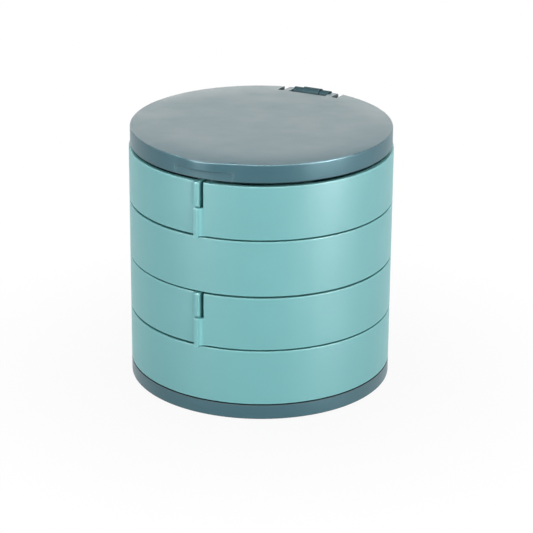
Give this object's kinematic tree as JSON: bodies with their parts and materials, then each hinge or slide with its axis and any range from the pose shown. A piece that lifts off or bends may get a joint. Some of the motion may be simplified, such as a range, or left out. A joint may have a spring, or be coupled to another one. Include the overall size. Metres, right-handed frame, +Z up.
{
  "type": "jewelry case",
  "caption": "Round upright jewelry case with stacked trays, half-moon trays that swing out on rear posts, and a hinged lid with a mirror inside.",
  "frame": {"origin": "centre of the round case on the surface that it stands on, under its four feet", "axes": "+Z up; the front of the case, with the seam of the half-moon trays and the lid's thumb lip, faces -Y; the lid hinge and the posts are at +Y; +X is to the right seen from the front"},
  "size_m": [0.1, 0.1017, 0.1009],
  "materials": {
    "green_plastic": "satin moulded",
    "slate_plastic": "satin moulded",
    "white_plastic": "turned",
    "steel": "drawn",
    "rubber": "matt",
    "mirror_glass": "polished",
    "tape": "foam"
  },
  "bodies": {
    "case": {"base": "slate_plastic", "base_feet": "rubber", "base_screws": "steel", "lower_tray": "green_plastic", "upper_tray": "green_plastic", "left_post": "steel", "right_post": "steel", "lower_left_sleeve": "white_plastic", "lower_right_sleeve": "white_plastic", "upper_left_sleeve": "white_plastic", "upper_right_sleeve": "white_plastic", "hinge_bridge": "slate_plastic", "bridge_screws": "steel"},
    "lower_left": {"lower_left_tray": "green_plastic"},
    "lower_right": {"lower_right_tray": "green_plastic"},
    "upper_left": {"upper_left_tray": "green_plastic"},
    "upper_right": {"upper_right_tray": "green_plastic"},
    "lid_body": {"lid": "slate_plastic", "mirror": "mirror_glass", "mirror_tape": "tape"}
  },
  "joints": [
    {"name": "lower_left_swing", "type": "hinge", "parent": "case", "child": "lower_left", "pos_m": [-0.00765, 0.04231, 0.0384], "axis": [0, 0, -1], "range_deg": [0, 105]},
    {"name": "lower_right_swing", "type": "hinge", "parent": "case", "child": "lower_right", "pos_m": [0.00765, 0.04231, 0.0384], "axis": [0, 0, 1], "range_deg": [0, 105]},
    {"name": "upper_left_swing", "type": "hinge", "parent": "case", "child": "upper_left", "pos_m": [-0.00765, 0.04231, 0.08135], "axis": [0, 0, -1], "range_deg": [0, 105]},
    {"name": "upper_right_swing", "type": "hinge", "parent": "case", "child": "upper_right", "pos_m": [0.00765, 0.04231, 0.08135], "axis": [0, 0, 1], "range_deg": [0, 105]},
    {"name": "lid_hinge", "type": "hinge", "parent": "case", "child": "lid_body", "pos_m": [0, 0.0464, 0.0975], "axis": [-1, 0, 0], "range_deg": [0, 105]}
  ]
}
